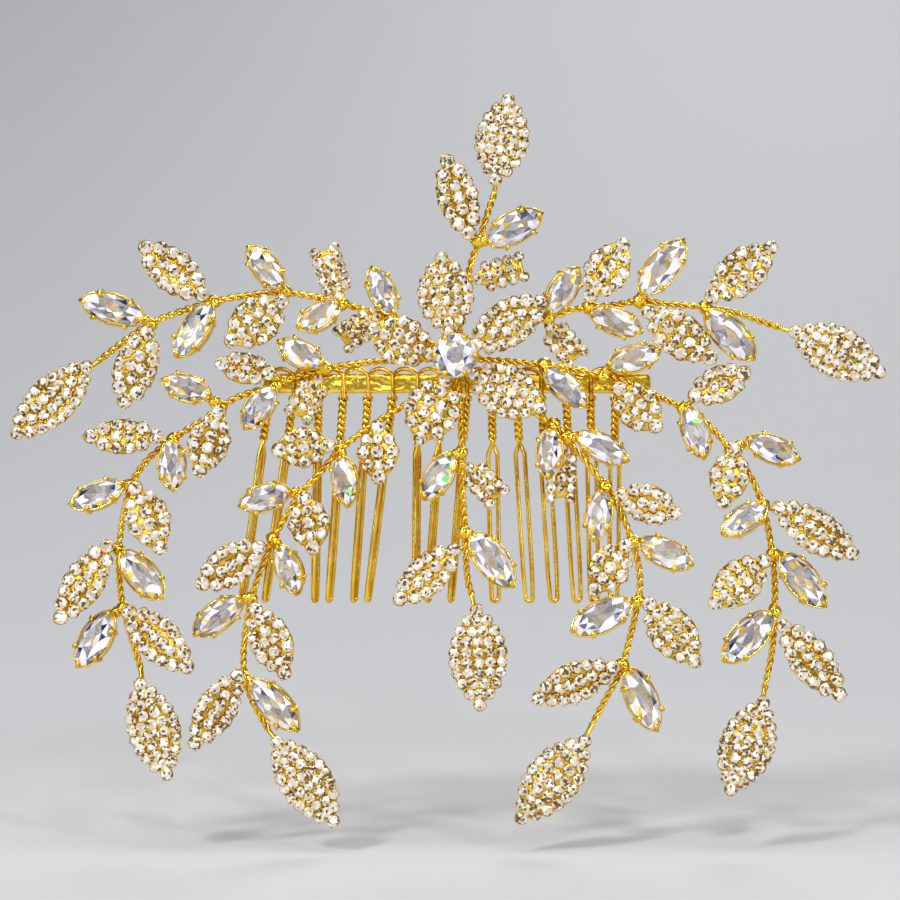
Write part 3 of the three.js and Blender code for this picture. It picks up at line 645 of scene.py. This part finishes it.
def addBasket(bm, place, length, width):
    top = basket["girdle"] - basket["rimBelow"]
    depth = top - basket["base"]
    shell = bmesh.new()
    openCup(shell, basket["sides"], basket["foot"], 1, depth)
    bmesh.ops.translate(shell, verts=shell.verts[:], vec=(0, 0, top - depth / 2))
    bmesh.ops.recalc_face_normals(shell, faces=shell.faces[:])
    long, wide = length - boat["endRoom"] * basket["endShare"], width * basket["widen"]
    toBoat(shell, long, wide)
    bmesh.ops.solidify(shell, geom=shell.faces[:], thickness=basket["wall"])
    bmesh.ops.recalc_face_normals(shell, faces=shell.faces[:])
    stampOnce(bm, shell, place)
    steps = basket["rimSteps"]
    rim = [boatPoint(math.tau * k / steps, 1.0, top, long, wide) for k in range(steps + 1)]
    tubes = addTube(bm, rim, basket["rim"])
    bmesh.ops.transform(bm, matrix=place, verts=tubes)
    profile = [(basket["foot"], basket["base"])] + [(scale, top + rise) for scale, rise in basket["clawTop"]]
    for degrees in basket["claws"]:
        turn = math.radians(degrees)
        line = [boatPoint(turn, scale, height, long + basket["clawOut"], wide + basket["clawOut"])
                for scale, height in profile]
        tubes = addTube(bm, line, basket["clawWire"])
        bmesh.ops.transform(bm, matrix=place, verts=tubes)
        bead = addBead(bm, basket["bead"])
        bmesh.ops.scale(bm, verts=bead, vec=(1, 1, basket["beadFlat"]))
        bmesh.ops.transform(bm, matrix=place @ Matrix.Translation(line[-1]), verts=bead)


# solder: each lump is (radius, how flat it is, how far it stands forward)
solder = dict(rough=0.35, grain=0.9, stoneRoot=(1.2, 0.7, 0.35), stoneNeck=(0.95, 0.8, 0),
              sprigRoot=(0.9, 0.75, 0.2), flower=(3.2, 0.2, 0))


def addSolder(bm, point, lump):
    radius, flat, forward = lump
    middle = point + front * forward
    verts = addBead(bm, radius)
    for vert in verts:
        vert.co *= 1 + solder["rough"] * noise.noise(vert.co * solder["grain"] + middle)
        vert.co.y *= flat
    bmesh.ops.translate(bm, verts=verts, vec=middle)


# wires
twist = dict(strand=0.3, roundness=2, radius=0.3, pitch=2.9, step=0.24, softLength=1.6)


def archedStem(points, arch):
    spans = [0.0]
    for (xa, za), (xb, zb) in zip(points, points[1:]):
        spans.append(spans[-1] + math.hypot(xb - xa, zb - za))
    return [Vector((x, stemDepth - arch * math.sin(math.pi * s / spans[-1]), z))
            for (x, z), s in zip(points, spans)]


def addGear(bmGold, bmCups, bmPave, route, stones, sprigs, name, body):
    for i, (x, z, direction, length, width) in enumerate(stones):
        root = nearest(route, x, z)
        roll = basket["rolls"][i % len(basket["rolls"])]
        place = pieceFrame(x, root.y - basket["forward"], z, direction, roll, basket["lift"])
        place = place @ Matrix.Translation((length / 2, 0, 0))
        addBasket(bmGold, place, length, width)
        base = place @ Vector((length * basket["armAlong"], 0, basket["base"] * basket["armDeep"]))
        addTube(bmGold, [root, (root + base) / 2, base], basket["arm"])
        near = place @ Vector((length * basket["neckAlong"], 0, 0))
        addSolder(bmGold, (root + near) / 2, solder["stoneNeck"])
        addSolder(bmGold, root, solder["stoneRoot"])
        makeStone(f"{name}_stone_{i + 1}", body, place, length, width)
    for x, z, direction, length, width in sprigs:
        root = nearest(route, x, z)
        place = pieceFrame(x, root.y + leaf["seat"], z, direction)
        addPave(bmCups, bmPave, length, width, place, blunt=True)
        addSolder(bmGold, root, solder["sprigRoot"])


hubGold, hubCups, hubPave = bmesh.new(), bmesh.new(), bmesh.new()
for name, spray in sprays.items():
    bend = jointAt[name + "_bend"]
    body = bodyOf[name + "_stem"]
    armPoints = [flower] + [Vector((x, stemDepth, z)) for x, z in spray["arm"]]
    stemPoints = archedStem([(bend.x, bend.z)] + spray["stem"], spray["arch"])
    route = smoothRoute(armPoints + stemPoints, twist["step"])
    wire = bmesh.new()
    for phase in (0, math.pi):
        strand = helix(route, twist["radius"], twist["pitch"], phase)
        addTube(wire, strand, twist["strand"], twist["roundness"])
    piece = addPiece(name + "_twisted_wire", wire, [finish["wire"]])
    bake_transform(piece)
    addGear(hubGold, hubCups, hubPave, route, spray["armStones"], spray["armSprigs"], name + "_hub", "comb")
    gold, cups, stones = bmesh.new(), bmesh.new(), bmesh.new()
    addGear(gold, cups, stones, route, spray["stones"], spray["sprigs"], name, body)
    leaves = [n for n in frame["nodes"] if n.startswith(name + "_leaf") or n.startswith(name + "_arm_leaf")]
    for node in sorted(leaves):
        makeLeaf(node, bodyOf[node], lambda p: nearest(route, p.x, p.z))
    settings = addPiece(name + "_settings", gold, [finish["wire"]], body)
    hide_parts(name + "_stem")
    if spray["sprigs"]:
        addPiece(name + "_sprig_cups", cups, [finish["cup"]], body)
        addPiece(name + "_sprig_stones", stones, [finish["pave"]], body, smooth=False)
print("sprays done")


# flower
centre = dict(cupRadius=3.75, cupDepth=2.6, sides=32, foot=0.55, wall=0.35, claws=6, clawWire=0.34,
              clawFoot=0.6, clawFootRise=0.2, clawTop=((0, -0.2), (0, 0.6), (-0.5, 1.05)), bead=0.46,
              stoneRadius=3.55, stoneRise=0.35, frontShares=(0.55, 0.1, 0.12),
              backShares=(0.6, 0.28, 0.12))
# the stone's rings: sides, radius, height, turned by half a step
centreCut = ((16, 1, 0.02, False), (16, 1, -0.02, False), (8, 0.83, 0.18, True), (8, 0.62, 0.32, False),
             (8, 0.4, 0.38, True), (8, 0.55, -0.33, True), (4, 0.1, -0.62, False))


def makeCentreCup(place):
    bm = bmesh.new()
    radius, depth = centre["cupRadius"], centre["cupDepth"]
    openCup(bm, centre["sides"], radius * centre["foot"], radius, depth)
    bmesh.ops.recalc_face_normals(bm, faces=bm.faces[:])
    bmesh.ops.solidify(bm, geom=bm.faces[:], thickness=centre["wall"])
    bmesh.ops.recalc_face_normals(bm, faces=bm.faces[:])
    bmesh.ops.translate(bm, verts=bm.verts[:], vec=(0, 0, depth / 2))
    profile = [(radius * centre["clawFoot"], centre["clawFootRise"])]
    profile += [(radius + out, depth + rise) for out, rise in centre["clawTop"]]
    for k in range(centre["claws"]):
        turn = Matrix.Rotation(math.tau * k / centre["claws"], 3, "Z")
        line = [turn @ Vector((x, 0, z)) for x, z in profile]
        addTube(bm, line, centre["clawWire"])
        bmesh.ops.translate(bm, verts=addBead(bm, centre["bead"]), vec=line[-1])
    bmesh.ops.transform(bm, matrix=place, verts=bm.verts[:])
    cup = addPiece("centre_claw_cup", bm, [finish["wire"]], "comb")
    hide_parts("centre_setting")


def makeCentreStone(place):
    bm = bmesh.new()
    for sides, radius, height, halfStep in centreCut:
        addRing(bm, sides, radius, height, halfStep)
    cutStone(bm)
    # facets painted silver, gold and dark at random as painted reflections
    paintFacetReflections(bm, centre["frontShares"], centre["backShares"])
    rise = Matrix.Translation((0, 0, centre["cupDepth"] + centre["stoneRise"]))
    bmesh.ops.transform(bm, matrix=place @ rise @ Matrix.Scale(centre["stoneRadius"], 4), verts=bm.verts[:])
    stone = addPiece("centre_cut_stone", bm, jewel, "comb", smooth=False)
    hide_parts("centre_stone")


for node in ("petal_top", "petal_upper_right", "petal_lower_right", "petal_bottom", "petal_left"):
    makeLeaf(node, "comb", lambda p: flower)
addSolder(hubGold, flower, solder["flower"])
hub = addPiece("hub_solder", hubGold, [finish["wire"]], "comb")
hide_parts("wire_hub")
addPiece("hub_sprig_cups", hubCups, [finish["cup"]], "comb")
addPiece("hub_sprig_stones", hubPave, [finish["pave"]], "comb", smooth=False)
cupPlace = pieceFrame(flower.x, cupHigh.y, flower.z, 0)
makeCentreCup(cupPlace)
makeCentreStone(cupPlace)
print("flower done")


# comb: the wire is twisted for twistLength under the bar, then spreads into two legs, each bow away from
# the tooth's middle, down to reach. The first turned teeth face turnedBy degrees, the others turnedLittle.
comb = dict(wire=0.375, roundness=3, pitch=4.09, inset=0.9, bareEnd=5.2, reach=36, bow=0.75, bowSteps=10,
            tipShare=0.8, tipCurve=5, slack=0.08, wrapTop=0.2, wrapFoot=0.3, wrapShift=0.3,
            twistDrop=0.5, twistTurns=3.5, twistSteps=44, twistRadius=0.39, twistLength=7.4, flare=0.5,
            flareShare=0.1, spread=2.2, spreadEnd=6, turned=9, turnedBy=62, turnedLittle=8,
            leans=(-7.5, -8, -1, -4, -4, -7, -0.5, -4, -4.5, 1, 3.6, 3.6, 3.2, 1, -0.5))
# the wire's way over the bar to the next tooth: share of the pitch, side of the bar, shift and lift
crossing = ((0.14, "back", -0.2, -0.1), (0.28, "middle", 0.5, 0.25), (0.45, "middle", 0.1, 0.4),
            (0.62, "middle", -0.3, 0.32), (0.78, "front", 0.35, 0.1), (0.9, "front", 0.1, -0.25))
bar = dict(corner=0.9, cornerSteps=5, edge=0.16, edgeSteps=2, cut=0.8, lengthCuts=(-0.9, -0.3, 0.3, 0.9),
           dent=0.13, dentScale=(0.7, 1.1), dentedTo=1.2)
barLow, barHigh = (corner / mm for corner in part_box("comb_bar"))
toothCount = int((barHigh.x - barLow.x - comb["inset"] - comb["bareEnd"]) / comb["pitch"]) + 1


def cutAcross(bm, place, normal):
    bmesh.ops.bisect_plane(bm, geom=bm.verts[:] + bm.edges[:] + bm.faces[:], plane_co=place, plane_no=normal)


def makeBar():  # a flat strip, beaten all over
    bm = bmesh.new()
    bmesh.ops.create_cube(bm, size=1)
    size, middle = barHigh - barLow, (barLow + barHigh) / 2
    bmesh.ops.scale(bm, verts=bm.verts[:], vec=size)
    upright = [e for e in bm.edges if abs(e.verts[0].co.y - e.verts[1].co.y) > size.y * 0.5]
    bmesh.ops.bevel(bm, geom=upright, offset=bar["corner"], affect="EDGES", segments=bar["cornerSteps"],
                    profile=0.5, material=-1)
    bmesh.ops.bevel(bm, geom=bm.edges[:], offset=bar["edge"], affect="EDGES", segments=bar["edgeSteps"],
                    profile=0.5, material=-1)
    cuts = int(size.x / 2 / bar["cut"])
    for k in range(-cuts, cuts + 1):
        cutAcross(bm, (k * bar["cut"], 0, 0), (1, 0, 0))
    for z in bar["lengthCuts"]:
        cutAcross(bm, (0, 0, z), (0, 0, 1))
    scaleX, scaleZ = bar["dentScale"]
    for vert in bm.verts:
        if abs(vert.co.z) < bar["dentedTo"]:
            vert.co.y += bar["dent"] * noise.noise(Vector((vert.co.x * scaleX, 0, vert.co.z * scaleZ)))
    bmesh.ops.translate(bm, verts=bm.verts[:], vec=middle)
    piece = addPiece("comb_bar_strip", bm, [finish["bar"]], "comb")
    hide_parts("comb_bar")


def toothRoute(i):  # down in front of the bar, round the tooth, up behind it and over to the next
    x = barLow.x + comb["inset"] + i * comb["pitch"]
    slope = math.tan(math.radians(comb["leans"][i % len(comb["leans"])]))
    turn = math.radians(comb["turnedBy"] if i < comb["turned"] else comb["turnedLittle"])
    frontDepth, backDepth = barLow.y - comb["wire"] - comb["slack"], barHigh.y + comb["wire"] + comb["slack"]
    middle = (frontDepth + backDepth) / 2
    depths = dict(front=frontDepth, middle=middle, back=backDepth)
    top = barLow.z - comb["twistDrop"]
    end = top - comb["twistLength"]
    tipTurn = comb["twistTurns"] * math.tau - math.pi / 2
    across = Vector((math.cos(turn), math.sin(turn), 0))
    if across.dot(Vector((math.cos(tipTurn), math.sin(tipTurn), 0))) < 0:
        across = -across

    def onTooth(side, z):
        return Vector((x + slope * (top - z), middle, z)) + side

    down, up = [], []
    for k in range(comb["twistSteps"] + 1):
        share = k / comb["twistSteps"]
        angle = share * comb["twistTurns"] * math.tau - math.pi / 2
        opened = max(0, comb["flareShare"] - share) / comb["flareShare"]
        radius = comb["twistRadius"] + comb["flare"] * opened
        offset = Vector((math.cos(angle), math.sin(angle), 0)) * radius
        z = top - share * comb["twistLength"]
        down.append(onTooth(offset, z))
        up.append(onTooth(-offset, z))
    tip, bow, steps = -comb["reach"], comb["bow"], comb["bowSteps"]
    narrow = bow * comb["tipShare"]
    legs = [(end - comb["spread"], bow), (end - comb["spreadEnd"], bow), (tip + comb["tipCurve"], bow),
            (tip + narrow, narrow)]
    down += [onTooth(across * side, z) for z, side in legs]
    bowSteps = [onTooth(across * narrow * math.cos(a), tip + narrow * (1 - math.sin(a)))
                for a in (math.pi * k / steps for k in range(1, steps))]
    back = [onTooth(-across * side, z) for z, side in reversed(legs)]
    over = barHigh.z + comb["wire"] + comb["slack"]
    shifted = x + comb["wrapShift"]
    wrapTop, wrapFoot = barHigh.z - comb["wrapTop"], barLow.z + comb["wrapFoot"]
    start = [Vector((x, frontDepth, wrapTop)), Vector((x, frontDepth, wrapFoot))]
    rise = [Vector((shifted, backDepth, wrapFoot)), Vector((shifted, backDepth, wrapTop))]
    points = start + down + bowSteps + back + up[::-1] + rise
    if i < toothCount - 1:
        for share, side, shift, lift in crossing:
            points.append(Vector((x + share * comb["pitch"], depths[side] + shift, over + lift)))
    return points


def makeTeeth():
    bm = bmesh.new()
    points = [point for i in range(toothCount) for point in toothRoute(i)]
    addTube(bm, points, comb["wire"], comb["roundness"])
    piece = addPiece("comb_wire", bm, [finish["wire"]], "comb")
    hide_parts("comb_teeth")


makeBar()
makeTeeth()
for shape in (paveStone, paveCup):
    bpy.data.meshes.remove(shape)
print("comb done")


# stage
stage = dict(floorDrop=0.004, wallAway=1.5, bend=1.35, bendSteps=16, halfWidth=4.0, near=-2.5, wallTop=3.0,
             paper=(0.6, 0.6, 0.61, 1), paperRoughness=0.8)


def makeStage():
    low = cadBox[0].z - stage["floorDrop"]
    bm = bmesh.new()
    steps = stage["bendSteps"]
    profile = [(stage["near"], low)]
    for k in range(steps + 1):
        turn = k / steps * math.pi / 2
        profile.append((stage["wallAway"] - stage["bend"] * (1 - math.sin(turn)),
                        low + stage["bend"] * (1 - math.cos(turn))))
    profile.append((stage["wallAway"], low + stage["wallTop"]))
    verts = [bm.verts.new((-stage["halfWidth"], y, z)) for y, z in profile]
    edges = [bm.edges.new(pair) for pair in zip(verts, verts[1:])]
    swept = bmesh.ops.extrude_edge_only(bm, edges=edges)["geom"]
    moved = [g for g in swept if isinstance(g, bmesh.types.BMVert)]
    bmesh.ops.translate(bm, verts=moved, vec=(2 * stage["halfWidth"], 0, 0))
    mesh = bpy.data.meshes.new("studioFloor")
    bm.to_mesh(mesh)
    bm.free()
    mesh.polygons.foreach_set("use_smooth", [True] * len(mesh.polygons))
    floor = bpy.data.objects.new("studio_floor", mesh)
    bpy.context.scene.collection.objects.link(floor)
    paper = bpy.data.materials.new("palePaper")
    paper.use_nodes = True
    shader = paper.node_tree.nodes["Principled BSDF"]
    shader.inputs["Base Color"].default_value = stage["paper"]
    shader.inputs["Roughness"].default_value = stage["paperRoughness"]
    mesh.materials.append(paper)


def addLight(name, place, aim, size, power):
    data = bpy.data.lights.new(name, "AREA")
    data.shape = "RECTANGLE"
    data.size, data.size_y = size
    data.energy = power
    light = bpy.data.objects.new(name, data)
    light.location = place
    light.rotation_euler = (Vector(aim) - Vector(place)).to_track_quat("-Z", "Y").to_euler()
    bpy.context.scene.collection.objects.link(light)


makeStage()
lights = dict(aim=(0, 0, -0.01), sky=(0.5, 0.52, 0.56, 1), skyStrength=0.4, panels=(  # place, size, power
    ("key_light", (-0.45, -0.55, 0.6), (0.12, 0.12), 3.6),
    ("spark_light", (0.5, -0.62, 0.36), (0.08, 0.08), 1.6),
    ("small_light", (0.08, -0.85, 0.5), (0.07, 0.07), 1.2),
    ("left_panel", (-0.85, -0.8, 0.35), (0.6, 0.7), 3.2),
    ("right_panel", (0.95, -0.65, 0.1), (0.4, 0.8), 2.4),
    ("top_panel", (0, -0.3, 1.0), (1.2, 0.5), 4),
    ("front_panel", (-0.1, -1.1, 0.22), (0.6, 0.22), 0.8),
    ("back_panel", (0.3, 0.9, 0.9), (0.6, 0.6), 4)))
for name, place, size, power in lights["panels"]:
    addLight(name, place, lights["aim"], size, power)
world = bpy.data.worlds.new("studio")
bpy.context.scene.world = world
world.use_nodes = True
world.node_tree.nodes["Background"].inputs["Color"].default_value = lights["sky"]
world.node_tree.nodes["Background"].inputs["Strength"].default_value = lights["skyStrength"]

view = dict(centre=(-0.0012, -0.011), width=0.1491, lens=85, sensor=36, clipStart=0.01)
cameraData = bpy.data.cameras.new("camera")
cameraData.lens = view["lens"]
cameraData.sensor_width = view["sensor"]
cameraData.clip_start = view["clipStart"]
camera = bpy.data.objects.new("camera", cameraData)
camera.location = (view["centre"][0], -view["width"] * view["lens"] / view["sensor"], view["centre"][1])
camera.rotation_euler = (math.pi / 2, 0, 0)
bpy.context.scene.collection.objects.link(camera)
bpy.context.scene.camera = camera
bpy.context.scene.view_settings.view_transform = "Standard"
print("stage done")
